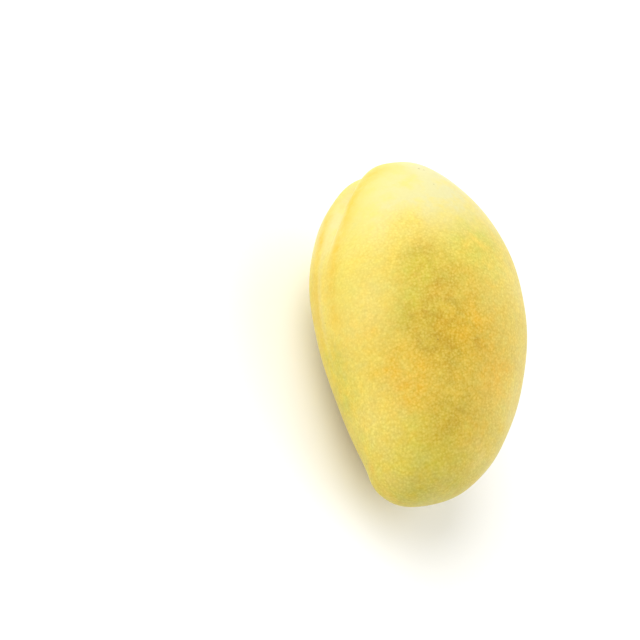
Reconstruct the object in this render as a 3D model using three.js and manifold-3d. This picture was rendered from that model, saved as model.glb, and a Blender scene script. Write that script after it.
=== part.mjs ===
// A ripe mango lying on one cheek: one solid fruit, as picked, with no stalk.
// Millimetres. +Z is up, +Y points to the stem end and -X to the creased edge.
// The origin is on the surface that the fruit lies on, under the middle of the fruit.
import * as THREE from 'three';
import { mergeVertices } from 'three/addons/utils/BufferGeometryUtils.js';
import Module from 'manifold-3d';

// Driving sizes of the smooth body, before the crease, hollow and beak are shaped
const LENGTH = 135;
const WIDTH = 79.2;
const THICKNESS = 69.7;

// The middle line is a curve across the width: what it gains with the first, second and third power
// of the way from the middle to the stem end. It gives the kidney-like lean of the fruit.
const BEND = [2, -6.5, 5.75];
// How the girth departs from an even oval, by the same three powers: fuller towards the stem end
const SWELL = [0.147, -0.052, -0.161];
// The creased edge is a little sharper than the other one, by this share
const EDGE_SHARPNESS = 0.05;

// Crease that runs from the stem hollow down the edge. It starts over a distance across the stem end
// and fades between two angles from the stem end, in radians, as every angle down the fruit is.
const CREASE_DEPTH = 6.3;
const CREASE_HALF_WIDTH = 3.3;
const CREASE_ROUNDING = 1.4;
const CREASE_ONSET = [-1, 6];
const CREASE_FADE = [0.3, 1.35];
// The skin swells a little on both sides of the crease
const LIP_HEIGHT = 0.55;
const LIP_OFFSET = 5.3;
const LIP_SPREAD = 4;

// How far the crease leans towards the upper cheek, and where along the fruit it does so
const LEAN_DEPTH = 5.9;
const LEAN_PLACE = 0.905;
const LEAN_SPREAD = 0.39;

// Long shallow valley that the crease lies in and that carries on to about half-way down
const VALLEY_DEPTH = 0.93;
const VALLEY_HALF_WIDTH = 11;
const VALLEY_START = [0.1, 0.5];
const VALLEY_END = [1.45, 1.85];

// Hollow round the stem scar
const HOLLOW_DEPTH = 4;
const HOLLOW_RADIUS = 7;
const HOLLOW_REACH = 1.2;

// Low round scar at the bottom of the hollow, where the stalk came off
const SCAR_HEIGHT = 0.6;
const SCAR_EDGE = [1.6, 2.8];

// Blunt blossom end, pressed in over this angle
const BLUNT_DEPTH = 3.2;
const BLUNT_ANGLE = 0.36;

// Small beak low on the creased edge, with a faint hollow above it
const BEAK_Y = -55;
const BEAK_Z = -9;
const BEAK_HEIGHT = 0.8;
const BEAK_RADIUS = 5;
const BEAK_HOLLOW_DEPTH = 0.3;
const BEAK_HOLLOW_RISE = 9;
const BEAK_HOLLOW_RADIUS = 7;
const BEAK_SPREAD = [0.2, 0.9];

// How the fruit rolls and tips, in degrees, until its weight is over the spot it lies on, and how far
// the skin is pressed flat there
const REST_ROLL = -12.5;
const REST_TIP = 4.4;
const FLAT_DEPTH = 0.4;

// Mesh: rings from the stem end to the blossom end, closer at both ends, and points round each ring,
// closer at the crease
const RINGS = 62;
const POINTS = 64;
const END_CROWDING = 0.45;
const CREASE_CROWDING = 0.75;
// The two end points are worked out just off the axis, where the skin still has a direction
const END_ANGLE = 1e-3;

const SKIN_COLOUR = 0xe2cb52;
const SKIN_ROUGHNESS = 0.6;

// Runs from 0 to 1 between two values, with a soft start and end
function ease(value, [from, to]) {
  const share = THREE.MathUtils.clamp((value - from) / (to - from), 0, 1);
  return share * share * (3 - 2 * share);
}

// A rounded bump of height 1 at 0, about as wide as its radius each way
function bump(distance, radius) {
  return Math.exp(-((distance / radius) ** 2));
}

function powers(factors, way) {
  return factors[0] * way + factors[1] * way ** 2 + factors[2] * way ** 3;
}

const STEM_X = powers(BEND, 1);

// Half the girth at a level, as a share of half the width or thickness
function girthAt(down) {
  return Math.sin(down) * (1 + powers(SWELL, Math.cos(down)));
}

// How far above the edge the crease lies at a level, and its angle round the fruit
function leanAt(down) {
  return LEAN_DEPTH * bump(down - LEAN_PLACE, LEAN_SPREAD);
}

function creaseAngle(down) {
  const halfThickness = (THICKNESS / 2) * girthAt(down) * (1 - EDGE_SHARPNESS);
  return Math.PI - Math.asin(leanAt(down) / halfThickness);
}

// The smooth body. down is the angle from the stem end, 0, to the blossom end, pi. round is the angle
// round the fruit: 0 at the plain edge, half pi on the upper cheek and pi at the creased edge.
function bodyPoint(down, round) {
  const way = Math.cos(down);
  const girth = girthAt(down);
  const x = powers(BEND, way) + (WIDTH / 2) * girth * Math.cos(round);
  const flatter = 1 + EDGE_SHARPNESS * Math.cos(round);
  const z = (THICKNESS / 2) * girth * Math.sin(round) * flatter;
  return new THREE.Vector3(x, (LENGTH / 2) * way, z);
}

function bodyNormal(down, round) {
  const step = 1e-4;
  const alongRing = bodyPoint(down, round + step).sub(bodyPoint(down, round - step));
  const alongLength = bodyPoint(down + step, round).sub(bodyPoint(down - step, round));
  return alongLength.cross(alongRing).negate().normalize();
}

function creaseRelief(point, down) {
  const onset = ease(STEM_X - point.x, CREASE_ONSET);
  const away = Math.abs(point.z - leanAt(down));
  const strength = 1 - ease(down, CREASE_FADE);
  const groove = -CREASE_DEPTH * Math.exp(-((away / CREASE_HALF_WIDTH) ** CREASE_ROUNDING));
  const lip = LIP_HEIGHT * bump(away - LIP_OFFSET, LIP_SPREAD);
  const valleyStrength = ease(down, VALLEY_START) * (1 - ease(down, VALLEY_END));
  const valley = -VALLEY_DEPTH * bump(away, VALLEY_HALF_WIDTH);
  return onset * (strength * (groove + lip) + valleyStrength * valley);
}

function hollowRelief(point, down) {
  if (down > HOLLOW_REACH) {
    return 0;
  }
  const fromStem = Math.hypot(point.x - STEM_X, point.z);
  const scar = SCAR_HEIGHT * (1 - ease(fromStem, SCAR_EDGE));
  return scar - HOLLOW_DEPTH * bump(fromStem, HOLLOW_RADIUS);
}

function beakRelief(point, round) {
  const onEdge = ease(-Math.cos(round), BEAK_SPREAD);
  const above = point.y - BEAK_Y;
  const beside = point.z - BEAK_Z;
  const beak = BEAK_HEIGHT * bump(Math.hypot(above, beside), BEAK_RADIUS);
  const toHollow = Math.hypot(above - BEAK_HOLLOW_RISE, beside);
  return onEdge * (beak - BEAK_HOLLOW_DEPTH * bump(toHollow, BEAK_HOLLOW_RADIUS));
}

function skinPoint(down, round) {
  const point = bodyPoint(down, round);
  const relief = creaseRelief(point, down)
    + hollowRelief(point, down)
    + beakRelief(point, round)
    - BLUNT_DEPTH * bump(Math.PI - down, BLUNT_ANGLE);
  return point.addScaledVector(bodyNormal(down, round), relief);
}

// The closed skin: one point at each end and rings of points between them
function skinGeometry() {
  const corners = [skinPoint(END_ANGLE, 0)];
  for (let ring = 1; ring < RINGS; ring += 1) {
    const share = ring / RINGS;
    const turn = 2 * Math.PI;
    const down = Math.PI * (share - (END_CROWDING * Math.sin(turn * share)) / turn);
    const crease = creaseAngle(down);
    for (let place = 0; place < POINTS; place += 1) {
      const fromCrease = (turn * place) / POINTS;
      corners.push(skinPoint(down, crease + fromCrease - CREASE_CROWDING * Math.sin(fromCrease)));
    }
  }
  corners.push(skinPoint(Math.PI - END_ANGLE, 0));

  const triangles = [];
  const last = corners.length - 1;
  for (let place = 0; place < POINTS; place += 1) {
    const next = (place + 1) % POINTS;
    triangles.push(0, 1 + next, 1 + place);
    for (let ring = 0; ring < RINGS - 2; ring += 1) {
      const upper = 1 + ring * POINTS;
      const lower = upper + POINTS;
      triangles.push(upper + place, upper + next, lower + next);
      triangles.push(upper + place, lower + next, lower + place);
    }
    const lowest = 1 + (RINGS - 2) * POINTS;
    triangles.push(last, lowest + place, lowest + next);
  }
  const geometry = new THREE.BufferGeometry().setFromPoints(corners);
  geometry.setIndex(triangles);
  return geometry;
}

const manifoldLibrary = await Module();
manifoldLibrary.setup();

function solidFrom(geometry) {
  const bare = geometry.clone();
  bare.deleteAttribute('normal');
  bare.deleteAttribute('uv');
  const merged = mergeVertices(bare);
  return new manifoldLibrary.Manifold(new manifoldLibrary.Mesh({
    numProp: 3,
    vertProperties: new Float32Array(merged.attributes.position.array),
    triVerts: new Uint32Array(merged.index.array),
  }));
}

function geometryFrom(solid) {
  const mesh = solid.getMesh();
  const geometry = new THREE.BufferGeometry();
  geometry.setAttribute('position', new THREE.BufferAttribute(mesh.vertProperties, mesh.numProp));
  geometry.setIndex(new THREE.BufferAttribute(mesh.triVerts, 1));
  return geometry;
}

// Rolls and tips the skin to its rest, and takes off the thin slice that makes the flat spot
function restingFruit() {
  const skin = skinGeometry();
  skin.rotateY(THREE.MathUtils.degToRad(REST_ROLL));
  skin.rotateX(THREE.MathUtils.degToRad(REST_TIP));
  skin.computeBoundingBox();
  const ground = skin.boundingBox.min.z + FLAT_DEPTH;
  skin.translate(0, 0, -ground);
  const slice = new THREE.BoxGeometry(2 * WIDTH, 2 * LENGTH, THICKNESS);
  slice.translate(0, 0, -THICKNESS / 2);
  const fruit = geometryFrom(solidFrom(skin).subtract(solidFrom(slice)));
  fruit.computeVertexNormals();
  return fruit;
}

const skinMaterial = new THREE.MeshStandardMaterial({
  color: SKIN_COLOUR,
  roughness: SKIN_ROUGHNESS,
  metalness: 0,
});

const mango = new THREE.Mesh(restingFruit(), skinMaterial);
mango.name = 'mango';
mango.geometry.computeBoundingBox();
const middle = mango.geometry.boundingBox.getCenter(new THREE.Vector3());
mango.position.set(-middle.x, -middle.y, 0);

const part = new THREE.Group();
part.add(mango);

export default part;
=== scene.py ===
"""A ripe yellow mango lying on one cheek, on a plain white floor in soft studio light.

The fruit's form is the one of its solid model, worked out again with far more points, with the fine
seam and the slight unevenness of a grown fruit added. Its skin is coloured by formulas, with painted
highlight on the shoulder at the stem end and painted shade on the blossom end and the underside.
"""

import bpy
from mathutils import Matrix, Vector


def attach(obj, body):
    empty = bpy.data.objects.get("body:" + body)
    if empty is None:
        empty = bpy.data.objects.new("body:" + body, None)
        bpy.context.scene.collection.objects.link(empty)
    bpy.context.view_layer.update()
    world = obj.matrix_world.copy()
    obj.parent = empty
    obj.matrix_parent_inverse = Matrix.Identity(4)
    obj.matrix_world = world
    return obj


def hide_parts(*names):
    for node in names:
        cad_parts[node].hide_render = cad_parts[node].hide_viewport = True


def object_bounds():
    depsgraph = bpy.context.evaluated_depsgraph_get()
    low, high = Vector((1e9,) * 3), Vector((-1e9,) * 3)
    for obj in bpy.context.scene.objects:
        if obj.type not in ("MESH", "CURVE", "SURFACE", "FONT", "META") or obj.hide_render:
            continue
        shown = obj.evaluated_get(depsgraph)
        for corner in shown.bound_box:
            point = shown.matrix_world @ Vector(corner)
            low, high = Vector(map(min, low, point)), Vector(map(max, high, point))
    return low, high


bl_info = {
    "name": "Ripe Mango",
    "version": (1, 0, 0),
    "blender": (4, 5, 0),
    "location": "3D View > Sidebar > Mango",
    "description": "A ripe mango in place of its packed solid, with its floor, light and camera",
    "category": "Add Mesh",
}

import math

import bpy
import numpy as np
from bpy.props import FloatProperty, FloatVectorProperty, IntProperty, PointerProperty
from mathutils import Euler, Matrix, Vector

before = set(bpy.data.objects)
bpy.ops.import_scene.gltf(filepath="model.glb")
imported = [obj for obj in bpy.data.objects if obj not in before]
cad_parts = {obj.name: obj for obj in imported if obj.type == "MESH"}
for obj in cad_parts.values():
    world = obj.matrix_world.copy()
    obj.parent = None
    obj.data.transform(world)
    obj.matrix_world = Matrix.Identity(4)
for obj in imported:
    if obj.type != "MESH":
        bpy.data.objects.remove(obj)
SOLID_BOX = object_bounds()

MM = 0.001

# Shape of the smooth body, as in the solid model. Lengths are in millimetres and angles down the
# fruit are in radians, from 0 at the stem end to pi at the blossom end. BEND is what the middle line
# gains across the fruit with the first three powers of the way from the middle to the stem end, and
# SWELL is how the girth departs from an even oval by the same powers.
BEND = (2, -6.5, 5.75)
SWELL = (0.147, -0.052, -0.161)
EDGE_SHARPNESS = 0.05

# The crease from the stem hollow down the edge, the lips beside it, its lean towards the upper cheek,
# and the shallow valley that it lies in
CREASE_ROUNDING = 1.4
CREASE_ONSET = (-1, 6)
CREASE_FADE = (0.3, 1.35)
LIP_HEIGHT = 0.55
LIP_OFFSET = 5.3
LIP_SPREAD = 4
LEAN_DEPTH = 5.9
LEAN_PLACE = 0.905
LEAN_SPREAD = 0.39
VALLEY_DEPTH = 0.93
VALLEY_HALF_WIDTH = 11
VALLEY_START = (0.1, 0.5)
VALLEY_END = (1.45, 1.85)

# The hollow round the stem scar, the blunt blossom end, and the beak low on the creased edge
HOLLOW_RADIUS = 7
HOLLOW_REACH = 1.2
SCAR_HEIGHT = 0.6
SCAR_EDGE = (1.6, 2.8)
BLUNT_DEPTH = 3.2
BLUNT_ANGLE = 0.36
BEAK_Y = -55
BEAK_Z = -9
BEAK_RADIUS = 5
BEAK_HOLLOW_DEPTH = 0.3
BEAK_HOLLOW_RISE = 9
BEAK_HOLLOW_RADIUS = 7
BEAK_SPREAD = (0.2, 0.9)

# How the fruit rolls and tips to its rest, in degrees, how deep its spot is pressed flat, and how
# softly the skin turns into the spot
REST_ROLL = -12.5
REST_TIP = 4.4
FLAT_DEPTH = 0.4
FLAT_ROUNDING = 0.12

# Points of the mesh: how they crowd at both ends and at the crease, and the angle of the two end
# points, which lie just off the axis. The step serves to find the direction that the skin faces.
END_CROWDING = 0.45
CREASE_CROWDING = 0.75
END_ANGLE = 1e-3
NORMAL_STEP = 1e-4

# The fine pale seam just below the bottom of the crease, which carries on where the crease fades
SEAM_OFFSET = -2.4
SEAM_HALF_WIDTH = 1.5
SEAM_START = (0.75, 1.0)
SEAM_END = (1.45, 1.9)

# Slight unevenness of the grown skin: soft waves of these lengths in millimetres, each in its own
# direction
WAVE_LENGTHS = (62, 47, 38, 31, 26, 21, 17, 14)
WAVE_SEED = 11

# Soft round patches of the skin's colours, in the fruit's own frame in millimetres: the middle, the
# radius and the strength. Those on the far cheek are guessed.
RIPE_PATCHES = (
    ((-8, -13, 33), 19, 0.95),
    ((-12, -40, 25), 13, 0.7),
    ((-14, 14, 31), 9, 0.7),
    ((-18, -3, 29), 9, 0.6),
    ((-5, 8, 34), 11, 0.4),
    ((-20, -16, 27), 8, 0.4),
    ((6, -8, -34), 24, 0.8),
)
BLUSH_PATCHES = (
    ((1, -10, 34), 13, 0.65),
    ((8, -28, 29), 12, 0.8),
    ((-24, -26, 22), 10, 0.9),
    ((-38.5, 10, -2), 10, 0.3),
    ((-1, -46, 23), 9, 0.5),
    ((-35, -3, 14), 9, 0.3),
    ((14, 4, -33), 16, 0.6),
    ((-16, -32, -25), 12, 0.5),
    ((36, -8, 2), 13, 0.4),
)
GREEN_PATCHES = (
    ((10, 20, 34), 13, 0.7),
    ((-38.5, -10, -1), 7, 0.7),
    ((-36, -24, -2), 8, 0.7),
    ((-18, -58, 13), 12, 0.5),
    ((-24, -62, 3), 8, 0.7),
    ((-13, -65, 5), 9, 0.8),
    ((-34, -42, -2), 8, 0.4),
    ((-17, 12, 30), 8, 0.5),
    ((-22, -2, 27), 7, 0.4),
    ((-27, -40, 17), 9, 0.3),
    ((-32, 24, -18), 14, 0.4),
    ((8, -44, -22), 16, 0.5),
)
CREAM_PATCHES = (
    ((17, -36, 21), 11, 0.8),
    ((3, -54, 16), 10, 0.7),
    ((-14, -60, 12), 7, 0.5),
    ((-31, 26, 17), 11, 0.5),
    ((-35, 3, 16), 12, 0.75),
    ((-38.5, 12, -1), 9, 0.4),
    ((-34, -36, 9), 12, 0.5),
    ((-27, -56, 5), 7, 0.4),
    ((22, 4, 28), 12, 0.4),
    ((34, 14, -8), 16, 0.5),
    ((-4, 30, -30), 16, 0.4),
)
# Dotted gold that breaks into the pale shoulder
GOLDEN_PATCHES = (
    ((-15, 31, 28.5), 7, 0.8),
    ((-15, 21, 31), 9, 0.8),
    ((-29, 17, 22), 8, 0.3),
    ((22, 38, 24), 14, 0.4),
    ((34, 30, -2), 20, 0.6),
)
# Small ochre stains low on the creased edge and beside the crease
STAIN_PATCHES = (
    ((-24.5, 50, 0.5), 2.5, 0.7),
    ((-32, -50, -2), 2.5, 0.7),
    ((-28.5, -58.5, -1.5), 3.5, 0.6),
    ((2, -60, 9), 5, 0.4),
)
# Tiny dark specks: the middle and the radius
SPECKS = (
    ((2.6, 57.2, 18.2), 0.45),
    ((4.4, 56.6, 18.8), 0.35),
    ((-32, -47.4, -4.6), 0.4),
)

# Smoother skin with fainter dots, beside the crease
SMOOTH_PATCHES = (
    ((-36, 10, 5), 24, 1.0),
)

# The pale shoulder, partly painted highlight as if strong light fell on the stem end: where it sets
# in on the way from the middle to the stem end, and how much it fades on the underside
SHOULDER_HIGHLIGHT_RISE = (17, 44)
SHOULDER_HIGHLIGHT_FADE = 0.5
# Where the greener blossom end sets in on the way from the middle. Its darker colour is partly
# painted shade, as if a contact shadow fell on that end.
BLOSSOM_SHADE_RISE = (-30, -64)
# Where the more even lemon yellow of the underside sets in on the way down from the upper cheek. It
# is
# partly painted shade: its saturated yellow dims the pale sheen on the lower edges.
UNDERSIDE_SHADE_FALL = (8, -12)
# Tints along the crease and the seam: how far above the crease they lie and how wide they are. The
# amber one lies further out at the stem, where the crease is deep. Both amber stripes set in over
# STRIPE_START, and all these tints fade over LINE_END.
FLANK_OFFSET = 9
FLANK_SPREAD = 9
AMBER_OFFSET = 5.5
AMBER_SPREAD = 3.2
AMBER_OUTWARDS = 3
AMBER_TURN = (0.5, 0.85)
STRIP_OFFSET = -6.5
STRIP_SPREAD = 3.2
STRIPE_START = (0.25, 0.6)
LINE_END = (1.3, 1.7)
# The bark-like stem scar and the yellow ring round it
SCAR_RIM = (2.0, 3.0)
STEM_RING_RADIUS = 6
# Mark of the flower at the beak
BEAK_MARK_RADIUS = 0.9

# How strongly these maps of the skin show at most. The other maps show fully.
MAP_STRENGTHS = {
    "tint_clouds": 0.14,
    "ripe_clouds": 0.1,
    "bloom_clouds": 0.15,
    # Partly painted shade: the darker blossom end
    "blossom_end_and_shade": 0.9,
    # Partly painted shade: the saturated underside
    "underside_and_shade": 0.8,
    "crease_flank": 0.6,
    "crease_amber": 0.8,
    "seam_strip": 0.75,
    "seam_ridge": 0.25,
    "stem_ring": 0.6,
}
# How much of the lenticel dots is lost on the pale shoulder, where its painted highlight washes them
# out, and on smoother skin
SHOULDER_HIGHLIGHT_DOT_LOSS = 0.85
SMOOTH_DOT_LOSS = 0.4

# Layers of colour in the order in which they are laid on: the map of the skin, the colour, how
# strongly slow noise breaks it up, and whether that noise is broad or small
COLOUR_LAYERS = (
    # Partly painted shade: the darker blossom end
    ("blossom_end_and_shade", "tip_and_shade", 0.3, "broad"),
    # Partly painted shade: the saturated underside dims the pale sheen on the lower edges
    ("underside_and_shade", "lemon", 0.3, "broad"),
    ("ripe_cheek", "ripe", 0.45, "small"),
    ("green_patches", "green", 0.9, "small"),
    ("blush_patches", "blush", 0.7, "small"),
    ("cream_patches", "cream", 0.6, "small"),
    ("tint_clouds", "green", 1.0, "small"),
    ("tint_clouds", "blush", 1.0, "small"),
    ("ripe_clouds", "ripe", 1.0, "small"),
    ("bloom_clouds", "pale", 1.0, "small"),
    ("stain_patches", "amber", 0.4, "small"),
    # Partly painted highlight: the pale shoulder stands in for strong light on the stem end
    ("shoulder_and_highlight", "pale", 0.4, "small"),
    ("crease_flank", "flank", 0.3, "broad"),
    ("crease_amber", "amber", 0.6, "small"),
    ("seam_strip", "amber", 0.6, "small"),
    ("seam_ridge", "pale", 0.1, "broad"),
    ("stem_ring", "flank", 0.3, "small"),
    ("stem_scar", "scar", 0.3, "small"),
    ("beak_mark", "scar", 0.2, "small"),
)

# Noise of the skin's patterns: sizes in millimetres, detail, roughness, and the range that most of
# its values lie in. Clouds break up the layers of colour, and the mottle makes the gaps between the
# dots and the skin's roughness uneven.
CLOUD_SIZES = {"broad": 16, "small": 6}
CLOUD_DETAIL = 4.0
MOTTLE_SIZE = 1.6
MOTTLE_DETAIL = 3.0
NOISE_ROUGHNESS = 0.6
NOISE_RANGE = (0.3, 0.7)
# Lenticel dots: how far apart they are, in millimetres, over which share of that their edge fades,
# how strong the faintest and the strongest are, their height in millimetres, and how strongly they
# and the gaps between them tint the skin
DOT_SPACING = 0.92
DOT_EDGE = (0.2, 0.8)
FAINTEST_DOT = 0.1
STRONGEST_DOT = 0.7
DOT_HEIGHT = 0.02
DOT_STRENGTH = 0.34
GAP_STRENGTH = 0.66
# Fine grain that ties the dots to each other: its size and height in millimetres, and its share
GRAIN_SIZE = 0.8
GRAIN_DETAIL = 1.0
GRAIN_HEIGHT = 0.01
GRAIN_SHARE = 0.6
# Dark specks all over the fruit: spacing and radius in millimetres, over how many radii their edge
# fades, and how strongly they show
SPECK_SPACING = 10
SPECK_RADIUS = 0.28
SPECK_EDGE = (0.5, 1.3)
SPECK_STRENGTH = 0.5

# Surface of the skin: how far its roughness changes from place to place, its gloss, the sheen of its
# wax, and the light that goes into the flesh and comes out again. Of that light, the shares are how
# far red, green and blue go of its depth in millimetres.
ROUGHNESS_CHANGE = 0.06
SKIN_IOR = 1.45
SKIN_GLOSS = 0.3
SHEEN_STRENGTH = 0.12
SHEEN_ROUGHNESS = 0.4
GLOW_STRENGTH = 0.12
GLOW_BY_COLOUR = (1.0, 0.65, 0.25)
GLOW_DEPTH = 1.5

# The floor: half its width in metres, and its finish
FLOOR_HALF_WIDTH = 10
FLOOR_ROUGHNESS = 0.95
FLOOR_GLOSS = 0.1

# Where the two soft lights stand, as the picture shows it: how far right, up and towards the viewer
KEY_PLACE = (-0.22, 0.8, 0.42)
RIM_PLACE = (0.88, 0.1, -0.05)

# Camera, in degrees and metres. It looks down on the fruit from the side of the crease. One pixel of
# the 640 pixel picture covers PIXEL_SIZE at the distance of the aim.
CAMERA_AZIMUTH = -61.12
CAMERA_ELEVATION = 41.62
CAMERA_ROLL = 54.65
CAMERA_DISTANCE = 0.8
CAMERA_AIM = (-0.0287, 0.0126, 0.0135)
PICTURE_PIXELS = 640
PIXEL_SIZE = 0.3655 * MM


def linear(hex_colour):
    """Turns an sRGB colour such as 0xffcc00 into the linear red, green, blue that shaders use."""
    shares = [((hex_colour >> shift) & 255) / 255 for shift in (16, 8, 0)]
    return [s / 12.92 if s <= 0.04045 else ((s + 0.055) / 1.055) ** 2.4 for s in shares]


def length_property(name, description, millimetres, lowest=0.0):
    """A length, given in millimetres and kept in metres, as Blender does."""
    return FloatProperty(
        name=name, description=description, default=millimetres * MM, min=lowest * MM,
        unit="LENGTH", precision=5)


def colour_property(name, description, hex_colour):
    """A colour, given in sRGB."""
    return FloatVectorProperty(
        name=name, description=description, default=linear(hex_colour), size=3, min=0, max=1,
        subtype="COLOR")


class MangoShape(bpy.types.PropertyGroup):
    """Sizes of the fruit, as grown."""

    length: length_property("Length", "Length of the smooth body, stem end to blossom end", 135, 60)
    width: length_property("Width", "Width from the creased edge to the plain edge", 79.2, 40)
    thickness: length_property("Thickness", "Thickness from cheek to cheek", 69.7, 35)
    crease_depth: length_property("Crease Depth", "Depth of the crease beside the stem hollow", 6.3)
    crease_half_width: length_property("Crease Half Width", "Half the width of the crease", 3.3, 1)
    hollow_depth: length_property("Hollow Depth", "Depth of the hollow round the stem scar", 4)
    beak_height: length_property("Beak Height", "Height of the small beak low on the edge", 0.8)
    seam_height: length_property("Seam Height", "Height of the fine seam below the crease", 0.22)
    unevenness: length_property("Unevenness", "Height of the soft waves of the grown skin", 0.16)
    rings: IntProperty(name="Rings", description="Rings of points down the fruit",
                       default=300, min=40, max=600)
    points: IntProperty(name="Points", description="Points round each ring",
                        default=320, min=40, max=600)


class MangoSkin(bpy.types.PropertyGroup):
    """Colours and finish of the skin."""

    gold: colour_property("Gold", "Light golden yellow of the sides", 0xe4cd54)
    # Pale is partly painted highlight on the shoulder; the wax bloom clouds and the seam use it too
    pale: colour_property("Pale", "Pale lemon of the waxy shoulder", 0xcfc992)
    # Partly painted shade: the blossom end is drawn darker than its own colour
    tip_and_shade: colour_property("Tip", "Yellow green of the blossom end", 0xcabf04)
    # Partly painted shade: this saturated yellow dims the pale sheen on the lower edges
    lemon: colour_property("Lemon", "Even lemon yellow of the underside", 0xddc804)
    ripe: colour_property("Ripe", "Deep gold of the ripest skin", 0xa07b00)
    cream: colour_property("Cream", "Light creamy yellow of the palest patches", 0xf6df7c)
    blush: colour_property("Blush", "Orange blush of the patches that caught the sun", 0xe6aa08)
    green: colour_property("Green", "Green that is left in the shaded patches", 0xb4ba0a)
    flank: colour_property("Flank", "Lemon yellow beside the crease", 0xcdc152)
    amber: colour_property("Amber", "Amber tint of the crease and beside the seam", 0xd6b43a)
    dot: colour_property("Dot", "Pale lenticel dots", 0xe8d870)
    between: colour_property("Between", "Olive gold between the dots", 0xae8e04)
    scar: colour_property("Scar", "Dry bark of the stem scar", 0x6f5230)
    roughness: FloatProperty(name="Roughness", description="Roughness of the waxed skin",
                             default=0.52, min=0, max=1, subtype="FACTOR")


class MangoStage(bpy.types.PropertyGroup):
    """Floor, light and camera."""

    floor: colour_property("Floor", "Matt white floor", 0xfafaf8)
    key_strength: FloatProperty(name="Key Light", description="Strength of the big soft light",
                                default=3.2, min=0)
    rim_strength: FloatProperty(name="Rim Light", description="Strength of the soft light opposite",
                                default=1.5, min=0)
    softness: FloatProperty(name="Softness", description="Apparent size of both lights",
                            default=math.radians(85), min=0, max=math.pi, subtype="ANGLE")
    fill_strength: FloatProperty(name="Fill", description="Strength of the even light all round",
                                 default=0.5, min=0)


def ease(value, limits):
    """Runs from 0 to 1 between two values, with a soft start and end."""
    share = np.clip((value - limits[0]) / (limits[1] - limits[0]), 0, 1)
    return share * share * (3 - 2 * share)


def bump(distance, radius):
    """A rounded bump of height 1 at 0, about as wide as its radius each way."""
    return np.exp(-((distance / radius) ** 2))


def powers(factors, way):
    """The first three powers of a way, each times its factor, added up."""
    return factors[0] * way + factors[1] * way ** 2 + factors[2] * way ** 3


STEM_X = powers(BEND, 1)


def girth_at(down):
    """Half the girth at a level, as a share of half the width or thickness."""
    return np.sin(down) * (1 + powers(SWELL, np.cos(down)))


def lean_at(down):
    """How far above the edge the crease lies at a level."""
    return LEAN_DEPTH * bump(down - LEAN_PLACE, LEAN_SPREAD)


def crease_angle(shape, down):
    """The angle round the fruit at which the crease lies at a level."""
    half_thickness = shape.thickness / MM / 2 * girth_at(down) * (1 - EDGE_SHARPNESS)
    return np.pi - np.arcsin(lean_at(down) / half_thickness)


def body_point(shape, down, around):
    """Points of the smooth body, in millimetres. around is 0 at the plain edge, half pi on the upper
    cheek and pi at the creased edge."""
    way = np.cos(down)
    girth = girth_at(down)
    x = powers(BEND, way) + shape.width / MM / 2 * girth * np.cos(around)
    y = shape.length / MM / 2 * way
    z = shape.thickness / MM / 2 * girth * np.sin(around) * (1 + EDGE_SHARPNESS * np.cos(around))
    return np.stack([x, y, z], axis=-1)


def body_normal(shape, down, around):
    """The direction that the smooth body faces at each point."""
    step = NORMAL_STEP
    along_ring = body_point(shape, down, around + step) - body_point(shape, down, around - step)
    along_length = body_point(shape, down + step, around) - body_point(shape, down - step, around)
    normal = np.cross(along_ring, along_length)
    return normal / np.linalg.norm(normal, axis=-1, keepdims=True)


def crease_relief(shape, x, z, down):
    """How far the crease, its lips, its valley and the seam raise the skin or sink it."""
    onset = ease(STEM_X - x, CREASE_ONSET)
    away = np.abs(z - lean_at(down))
    strength = 1 - ease(down, CREASE_FADE)
    rounding = (away / (shape.crease_half_width / MM)) ** CREASE_ROUNDING
    groove = -shape.crease_depth / MM * np.exp(-rounding)
    lip = LIP_HEIGHT * bump(away - LIP_OFFSET, LIP_SPREAD)
    valley_strength = ease(down, VALLEY_START) * (1 - ease(down, VALLEY_END))
    valley = -VALLEY_DEPTH * bump(away, VALLEY_HALF_WIDTH)
    seam_strength = ease(down, SEAM_START) * (1 - ease(down, SEAM_END))
    from_seam = z - lean_at(down) - SEAM_OFFSET
    seam = shape.seam_height / MM * bump(from_seam, SEAM_HALF_WIDTH)
    return onset * (strength * (groove + lip) + valley_strength * valley + seam_strength * seam)


def hollow_relief(shape, x, z, down):
    """How far the hollow at the stem sinks the skin, and the scar in it raises it."""
    from_stem = np.hypot(x - STEM_X, z)
    scar = SCAR_HEIGHT * (1 - ease(from_stem, SCAR_EDGE))
    hollow = -shape.hollow_depth / MM * bump(from_stem, HOLLOW_RADIUS)
    return np.where(down > HOLLOW_REACH, 0, scar + hollow)


def beak_relief(shape, y, z, around):
    """How far the beak raises the skin, and the faint hollow above it sinks it."""
    on_edge = ease(-np.cos(around), BEAK_SPREAD)
    above = y - BEAK_Y
    beside = z - BEAK_Z
    beak = shape.beak_height / MM * bump(np.hypot(above, beside), BEAK_RADIUS)
    to_hollow = np.hypot(above - BEAK_HOLLOW_RISE, beside)
    hollow = BEAK_HOLLOW_DEPTH * bump(to_hollow, BEAK_HOLLOW_RADIUS)
    return on_edge * (beak - hollow)


def grown_waves(shape, place):
    """Soft waves that run through the fruit in different directions, so that no side is even."""
    draw = np.random.default_rng(WAVE_SEED)
    height = np.zeros(len(place))
    for wave_length in WAVE_LENGTHS:
        direction = draw.normal(size=3)
        direction /= np.linalg.norm(direction)
        start = draw.uniform(0, 2 * np.pi)
        height += np.sin(place @ direction * 2 * np.pi / wave_length + start)
    return shape.unevenness / MM * height / math.sqrt(len(WAVE_LENGTHS))


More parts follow.
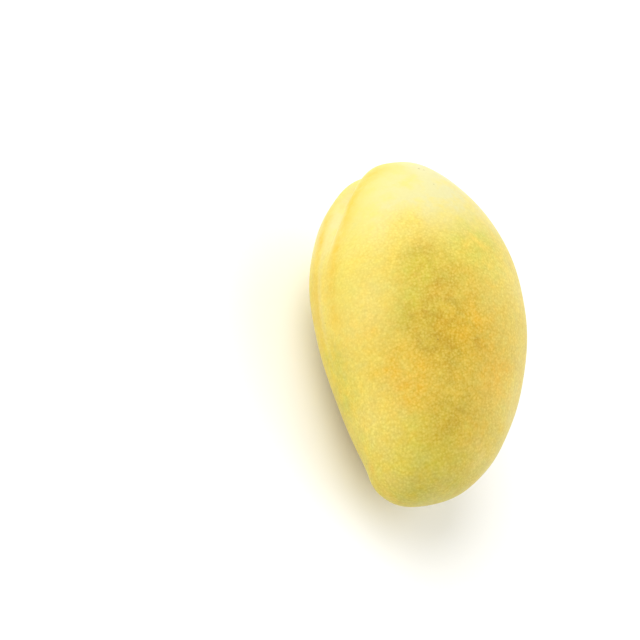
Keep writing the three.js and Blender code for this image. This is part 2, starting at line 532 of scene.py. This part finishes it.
def skin_point(shape, down, around):
    """Points of the skin: those of the smooth body, moved in or out by everything that grew on it."""
    place = body_point(shape, down, around)
    x, y, z = place.T
    relief = (
        crease_relief(shape, x, z, down)
        + hollow_relief(shape, x, z, down)
        + beak_relief(shape, y, z, around)
        - BLUNT_DEPTH * bump(np.pi - down, BLUNT_ANGLE)
        + grown_waves(shape, place)
    )
    return place + relief[:, None] * body_normal(shape, down, around)


def skin_grid(shape):
    """Angles down and round the fruit of each point of the skin: the stem end, the rings, which are
    closer at both ends and have closer points at the crease, and the blossom end."""
    share = np.arange(1, shape.rings) / shape.rings
    levels = np.pi * (share - END_CROWDING * np.sin(2 * np.pi * share) / (2 * np.pi))[:, None]
    from_crease = 2 * np.pi * np.arange(shape.points) / shape.points
    around = crease_angle(shape, levels) + from_crease - CREASE_CROWDING * np.sin(from_crease)
    down = levels + np.zeros_like(around)
    return (np.concatenate([[END_ANGLE], down.ravel(), [np.pi - END_ANGLE]]),
            np.concatenate([[0.0], around.ravel(), [0.0]]))


def patches(place, spots):
    """Soft round patches on the skin, which run into each other where they meet."""
    bare = np.ones(len(place))
    for middle, radius, strength in spots:
        bare *= 1 - strength * bump(np.linalg.norm(place - middle, axis=1), radius)
    return 1 - bare


def skin_maps(shape, down, around):
    """Where each layer of colour and the dots show on the skin, from 0 to 1 at each of its points."""
    place = body_point(shape, down, around)
    x, y, z = place.T
    on_edge = ease(STEM_X - x, CREASE_ONSET)
    above_crease = z - lean_at(down)
    line = on_edge * (1 - ease(down, LINE_END))
    seam = on_edge * ease(down, SEAM_START) * (1 - ease(down, SEAM_END))
    stripes = line * ease(down, STRIPE_START)
    amber_offset = AMBER_OFFSET + AMBER_OUTWARDS * (1 - ease(down, AMBER_TURN))
    at_stem = down < HOLLOW_REACH
    from_stem = np.hypot(x - STEM_X, z)
    from_beak = np.where(x > 0, np.inf, np.hypot(y - BEAK_Y, z - BEAK_Z))
    ripe = patches(place, RIPE_PATCHES)
    # The pale shoulder is partly painted highlight, as if strong light fell on the stem end
    shoulder_and_highlight = ease(y, SHOULDER_HIGHLIGHT_RISE) * (1 - patches(place, GOLDEN_PATCHES))
    shoulder_and_highlight *= 1 - SHOULDER_HIGHLIGHT_FADE * ease(z, UNDERSIDE_SHADE_FALL)
    smooth = patches(place, SMOOTH_PATCHES)
    return {
        "shoulder_and_highlight": shoulder_and_highlight,
        "tint_clouds": 1 - shoulder_and_highlight,
        "ripe_clouds": 1 - shoulder_and_highlight,
        "bloom_clouds": (1 - shoulder_and_highlight) * (1 - ripe),
        # Partly painted shade: the darker blossom end
        "blossom_end_and_shade": ease(y, BLOSSOM_SHADE_RISE),
        # Partly painted shade: the saturated underside dims the pale sheen on the lower edges
        "underside_and_shade": ease(z, UNDERSIDE_SHADE_FALL),
        "ripe_cheek": ripe,
        "blush_patches": patches(place, BLUSH_PATCHES),
        "stain_patches": patches(place, STAIN_PATCHES),
        "green_patches": patches(place, GREEN_PATCHES),
        "cream_patches": patches(place, CREAM_PATCHES),
        "crease_flank": line * bump(above_crease - FLANK_OFFSET, FLANK_SPREAD),
        "crease_amber": stripes * bump(above_crease - amber_offset, AMBER_SPREAD),
        "seam_strip": stripes * bump(above_crease - STRIP_OFFSET, STRIP_SPREAD),
        "seam_ridge": seam * bump(above_crease - SEAM_OFFSET, SEAM_HALF_WIDTH),
        "stem_ring": at_stem * bump(from_stem, STEM_RING_RADIUS),
        "stem_scar": at_stem * (1 - ease(from_stem, SCAR_RIM)),
        "beak_mark": bump(from_beak, BEAK_MARK_RADIUS),
        "dot_share": (1 - SHOULDER_HIGHLIGHT_DOT_LOSS * shoulder_and_highlight) * (1 - SMOOTH_DOT_LOSS * smooth),
    }


def skin_faces(shape):
    """Four-sided faces between the rings, and three-sided ones at both ends."""
    count = shape.points
    last = 1 + (shape.rings - 1) * count
    faces = []
    for place in range(count):
        after = (place + 1) % count
        faces.append((0, 1 + place, 1 + after))
        for ring in range(shape.rings - 2):
            upper = 1 + ring * count
            lower = upper + count
            faces.append((upper + place, lower + place, lower + after, upper + after))
        lowest = 1 + (shape.rings - 2) * count
        faces.append((last, lowest + after, lowest + place))
    return faces


def at_rest(places):
    """Rolls and tips the fruit to its rest, presses its spot flat and fits it to the solid's box."""
    turn = Matrix.Rotation(math.radians(REST_TIP), 3, "X") @ Matrix.Rotation(
        math.radians(REST_ROLL), 3, "Y")
    turned = places @ np.array(turn).T
    height = turned[:, 2] - turned[:, 2].min() - FLAT_DEPTH
    pressed = (height + np.sqrt(height ** 2 + FLAT_ROUNDING ** 2)) / 2
    turned[:, 2] = pressed - pressed.min()
    low = turned.min(axis=0)
    high = turned.max(axis=0)
    box_low = np.array(SOLID_BOX[0])
    box_high = np.array(SOLID_BOX[1])
    return box_low + (turned - low) / (high - low) * (box_high - box_low)


def write_map(mesh, name, values):
    """Keeps a number or a place for each point of the mesh, for the skin's material to read."""
    kind, field = ("FLOAT_VECTOR", "vector") if values.ndim == 2 else ("FLOAT", "value")
    mesh.attributes.new(name, kind, "POINT").data.foreach_set(field, values.ravel())


def set_inputs(tree, node, inputs):
    """Sets inputs, named by their identifiers, to values, or links them to the sockets given."""
    sockets = {socket.identifier: socket for socket in node.inputs}
    for name, value in inputs.items():
        if isinstance(value, bpy.types.NodeSocket):
            tree.links.new(value, sockets[name])
        else:
            sockets[name].default_value = value


def add_node(tree, kind, inputs, **settings):
    """Adds a node with its settings, values and links, and returns its outputs by identifier."""
    node = tree.nodes.new(kind)
    for name, value in settings.items():
        setattr(node, name, value)
    set_inputs(tree, node, inputs)
    return {socket.identifier: socket for socket in node.outputs}


def layered_colour(tree, skin, place):
    """The skin's large tints: each layer is laid over the last and broken up by slow noise. The
    layers take the channels of that noise in turn, so that they break up in different places."""
    clouds = {}
    for name, size in CLOUD_SIZES.items():
        noise = add_node(tree, "ShaderNodeTexNoise", {
            "Vector": place, "Scale": 1 / size, "Detail": CLOUD_DETAIL,
            "Roughness": NOISE_ROUGHNESS})["Color"]
        clouds[name] = list(add_node(tree, "ShaderNodeSeparateColor", {"Color": noise}).values())
    colour = (*skin.gold, 1)
    for order, (name, tint, breaking, kind) in enumerate(COLOUR_LAYERS):
        strength = add_node(tree, "ShaderNodeAttribute", {}, attribute_name=name)["Fac"]
        broken = add_node(tree, "ShaderNodeMapRange", {
            "Value": clouds[kind][order % len(clouds[kind])], "From Min": NOISE_RANGE[0],
            "From Max": NOISE_RANGE[1], "To Min": 1 - breaking, "To Max": 1 + breaking})["Result"]
        share = add_node(tree, "ShaderNodeMath", {"Value": strength, "Value_001": broken},
                         operation="MULTIPLY", use_clamp=True)["Value"]
        colour = add_node(tree, "ShaderNodeMix", {
            "Factor_Float": share, "A_Color": colour, "B_Color": (*getattr(skin, tint), 1)},
            data_type="RGBA")["Result_Color"]
    return colour


def lenticel_dots(tree, place, grain):
    """Fine round dots of uneven strength, tied to each other by the grain."""
    cells = add_node(tree, "ShaderNodeTexVoronoi", {"Vector": place, "Scale": 1 / DOT_SPACING})
    round_dots = add_node(tree, "ShaderNodeMapRange", {
        "Value": cells["Distance"], "From Min": DOT_EDGE[0], "From Max": DOT_EDGE[1], "To Min": 1.0,
        "To Max": 0.0}, interpolation_type="SMOOTHSTEP")["Result"]
    cell_draw = add_node(tree, "ShaderNodeSeparateColor", {"Color": cells["Color"]})["Red"]
    cell_strength = add_node(tree, "ShaderNodeMapRange", {
        "Value": cell_draw, "To Min": FAINTEST_DOT, "To Max": STRONGEST_DOT})["Result"]
    uneven_dots = add_node(tree, "ShaderNodeMath", {
        "Value": round_dots, "Value_001": cell_strength}, operation="MULTIPLY")["Value"]
    fine_change = add_node(tree, "ShaderNodeMapRange", {
        "Value": grain, "From Min": NOISE_RANGE[0], "From Max": NOISE_RANGE[1], "To Min": 0.0,
        "To Max": GRAIN_SHARE})["Result"]
    return add_node(tree, "ShaderNodeMath", {"Value": uneven_dots, "Value_001": fine_change},
                    operation="ADD", use_clamp=True)["Value"]


def dotted_colour(tree, skin, mottle, dots, colour):
    """Pale lenticel dots, and uneven olive gold in the gaps between them. Both fade on the pale
    shoulder, which is partly painted highlight, and the dots fade more."""
    dot_share = add_node(tree, "ShaderNodeAttribute", {}, attribute_name="dot_share")["Fac"]
    gaps = add_node(tree, "ShaderNodeMath", {"Value": 1.0, "Value_001": dots},
                    operation="SUBTRACT")["Value"]
    for pattern, uneven, strength, tint in (
            (gaps, mottle, GAP_STRENGTH, skin.between), (dots, dot_share, DOT_STRENGTH, skin.dot)):
        share = pattern
        for factor in (uneven, dot_share, strength):
            share = add_node(tree, "ShaderNodeMath", {"Value": share, "Value_001": factor},
                             operation="MULTIPLY")["Value"]
        colour = add_node(tree, "ShaderNodeMix", {
            "Factor_Float": share, "A_Color": colour, "B_Color": (*tint, 1)},
            data_type="RGBA")["Result_Color"]
    return colour


def specked_colour(tree, skin, place, colour):
    """Tiny dark specks: the smallest scattered over the fruit, and those of SPECKS."""
    near_speck = add_node(tree, "ShaderNodeTexVoronoi", {
        "Vector": place, "Scale": 1 / SPECK_SPACING})["Distance"]
    distance = add_node(tree, "ShaderNodeMath", {
        "Value": near_speck, "Value_001": SPECK_SPACING / SPECK_RADIUS},
        operation="MULTIPLY")["Value"]
    for middle, radius in SPECKS:
        apart = add_node(tree, "ShaderNodeVectorMath", {"Vector": place, "Vector_001": middle},
                         operation="DISTANCE")["Value"]
        in_radii = add_node(tree, "ShaderNodeMath", {"Value": apart, "Value_001": radius},
                            operation="DIVIDE")["Value"]
        distance = add_node(tree, "ShaderNodeMath", {"Value": distance, "Value_001": in_radii},
                            operation="MINIMUM")["Value"]
    share = add_node(tree, "ShaderNodeMapRange", {
        "Value": distance, "From Min": SPECK_EDGE[0], "From Max": SPECK_EDGE[1],
        "To Min": SPECK_STRENGTH, "To Max": 0.0}, interpolation_type="SMOOTHSTEP")["Result"]
    return add_node(tree, "ShaderNodeMix", {
        "Factor_Float": share, "A_Color": colour, "B_Color": (*skin.scar, 1)},
        data_type="RGBA")["Result_Color"]


def waxed_mango_skin(skin):
    """Skin of a ripe mango as grown: a smooth cuticle under its own thin matt wax. The wax gives the
    eye a wide, soft sheen that pales the edges, and the lenticels are fine pale dots."""
    material = bpy.data.materials.new("waxed_mango_skin")
    material.use_nodes = True
    tree = material.node_tree
    place = add_node(tree, "ShaderNodeAttribute", {}, attribute_name="fruit_place")["Vector"]
    mottle = add_node(tree, "ShaderNodeTexNoise", {
        "Vector": place, "Scale": 1 / MOTTLE_SIZE, "Detail": MOTTLE_DETAIL,
        "Roughness": NOISE_ROUGHNESS})["Fac"]
    grain = add_node(tree, "ShaderNodeTexNoise", {
        "Vector": place, "Scale": 1 / GRAIN_SIZE, "Detail": GRAIN_DETAIL})["Fac"]
    dots = lenticel_dots(tree, place, grain)
    colour = layered_colour(tree, skin, place)
    colour = dotted_colour(tree, skin, mottle, dots, colour)
    colour = specked_colour(tree, skin, place, colour)

    surface = add_node(tree, "ShaderNodeBump", {
        "Height": dots, "Distance": DOT_HEIGHT * MM, "Strength": 1.0})["Normal"]
    surface = add_node(tree, "ShaderNodeBump", {
        "Height": grain, "Distance": GRAIN_HEIGHT * MM, "Strength": 1.0,
        "Normal": surface})["Normal"]
    roughness = add_node(tree, "ShaderNodeMapRange", {
        "Value": mottle, "From Min": NOISE_RANGE[0], "From Max": NOISE_RANGE[1],
        "To Min": skin.roughness - ROUGHNESS_CHANGE,
        "To Max": skin.roughness + ROUGHNESS_CHANGE})["Result"]
    set_inputs(tree, tree.nodes["Principled BSDF"], {
        "Base Color": colour,
        "Roughness": roughness,
        "Normal": surface,
        "IOR": SKIN_IOR,
        "Specular IOR Level": SKIN_GLOSS,
        "Sheen Weight": SHEEN_STRENGTH,
        "Sheen Roughness": SHEEN_ROUGHNESS,
        "Subsurface Weight": GLOW_STRENGTH,
        "Subsurface Radius": GLOW_BY_COLOUR,
        "Subsurface Scale": GLOW_DEPTH * MM,
    })
    return material


class MANGO_OT_build_fruit(bpy.types.Operator):
    """Builds the fruit with its skin in place of its solid"""

    bl_idname = "mango.build_fruit"
    bl_label = "Build Fruit"

    def execute(self, context):
        shape = context.scene.mango_shape
        down, around = skin_grid(shape)
        places = skin_point(shape, down, around)
        points = at_rest(places)
        if not np.isfinite(points).all():
            raise ValueError("these sizes give the fruit no closed form")
        mesh = bpy.data.meshes.new("mango_fruit")
        mesh.from_pydata(points.tolist(), [], skin_faces(shape))
        mesh.shade_smooth()
        write_map(mesh, "fruit_place", places)
        for name, values in skin_maps(shape, down, around).items():
            write_map(mesh, name, MAP_STRENGTHS.get(name, 1) * values)
        mesh.materials.append(waxed_mango_skin(context.scene.mango_skin))
        fruit = bpy.data.objects.new("mango_fruit", mesh)
        context.scene.collection.objects.link(fruit)
        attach(fruit, "root")
        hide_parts("mango")
        return {"FINISHED"}


def matt_white_floor(stage):
    """Matt white board: no gloss, so it shows only the soft shadow."""
    material = bpy.data.materials.new("matt_white_floor")
    material.use_nodes = True
    shader = material.node_tree.nodes["Principled BSDF"]
    shader.inputs["Base Color"].default_value = (*stage.floor, 1)
    shader.inputs["Roughness"].default_value = FLOOR_ROUGHNESS
    shader.inputs["Specular IOR Level"].default_value = FLOOR_GLOSS
    return material


def make_floor(stage):
    half = FLOOR_HALF_WIDTH
    corners = [(-half, -half, 0), (half, -half, 0), (half, half, 0), (-half, half, 0)]
    mesh = bpy.data.meshes.new("floor")
    mesh.from_pydata(corners, [], [(0, 1, 2, 3)])
    mesh.materials.append(matt_white_floor(stage))
    floor = bpy.data.objects.new("floor", mesh)
    bpy.context.scene.collection.objects.link(floor)


def direction_from(azimuth, elevation):
    """The direction towards a viewer at these angles in degrees, in the solid's frame."""
    turn = math.radians(azimuth)
    rise = math.radians(elevation)
    across = math.cos(rise)
    return Vector((math.sin(turn) * across, -math.cos(turn) * across, math.sin(rise)))


def add_light(name, strength, softness, place, camera):
    """Adds a soft light that shines from a place in the picture onto the fruit."""
    light_data = bpy.data.lights.new(name, "SUN")
    light_data.energy = strength
    light_data.angle = softness
    light = bpy.data.objects.new(name, light_data)
    light.rotation_mode = "QUATERNION"
    towards_light = camera.rotation_quaternion @ Vector(place)
    light.rotation_quaternion = (-towards_light).to_track_quat("-Z", "Y")
    bpy.context.scene.collection.objects.link(light)


def make_camera():
    camera_data = bpy.data.cameras.new("camera")
    camera = bpy.data.objects.new("camera", camera_data)
    back = direction_from(CAMERA_AZIMUTH, CAMERA_ELEVATION)
    level = (-back).to_track_quat("-Z", "Y")
    camera.rotation_mode = "QUATERNION"
    camera.rotation_quaternion = level @ Euler((0, 0, math.radians(CAMERA_ROLL))).to_quaternion()
    camera.location = Vector(CAMERA_AIM) + back * CAMERA_DISTANCE
    picture_width = PIXEL_SIZE * PICTURE_PIXELS
    camera_data.lens = camera_data.sensor_width * CAMERA_DISTANCE / picture_width
    bpy.context.scene.collection.objects.link(camera)
    bpy.context.scene.camera = camera
    return camera


def white_studio(stage):
    """White walls: white to the camera, and an even light on the fruit at the fill's strength."""
    world = bpy.data.worlds.new("white_studio")
    world.use_nodes = True
    tree = world.node_tree
    seen = add_node(tree, "ShaderNodeLightPath", {})["Is Camera Ray"]
    strength = add_node(tree, "ShaderNodeMapRange", {
        "Value": seen, "To Min": stage.fill_strength})["Result"]
    set_inputs(tree, tree.nodes["Background"], {"Color": (1, 1, 1, 1), "Strength": strength})
    return world


class MANGO_OT_set_stage(bpy.types.Operator):
    """Sets the floor, the light and the camera"""

    bl_idname = "mango.set_stage"
    bl_label = "Set Stage"

    def execute(self, context):
        stage = context.scene.mango_stage
        make_floor(stage)
        camera = make_camera()
        add_light("key_light", stage.key_strength, stage.softness, KEY_PLACE, camera)
        add_light("rim_light", stage.rim_strength, stage.softness, RIM_PLACE, camera)
        context.scene.world = white_studio(stage)
        context.scene.view_settings.view_transform = "Standard"
        return {"FINISHED"}


class MANGO_PT_panel(bpy.types.Panel):
    """Lists the fruit and its stage in the sidebar"""

    bl_idname = "MANGO_PT_panel"
    bl_label = "Mango"
    bl_space_type = "VIEW_3D"
    bl_region_type = "UI"
    bl_category = "Mango"

    def draw(self, context):
        layout = self.layout
        for name, group in GROUPS.items():
            box = layout.box()
            for setting in group.__annotations__:
                box.prop(getattr(context.scene, name), setting)
        for operator in OPERATORS:
            layout.operator(operator.bl_idname)


GROUPS = {"mango_shape": MangoShape, "mango_skin": MangoSkin, "mango_stage": MangoStage}
OPERATORS = (MANGO_OT_build_fruit, MANGO_OT_set_stage)
CLASSES = (*GROUPS.values(), *OPERATORS, MANGO_PT_panel)


def register():
    for made in CLASSES:
        bpy.utils.register_class(made)
    for name, group in GROUPS.items():
        setattr(bpy.types.Scene, name, PointerProperty(type=group))


def unregister():
    for name in GROUPS:
        delattr(bpy.types.Scene, name)
    for made in reversed(CLASSES):
        bpy.utils.unregister_class(made)


def main():
    register()
    bpy.ops.mango.build_fruit()
    bpy.ops.mango.set_stage()


if __name__ == "__main__":
    main()
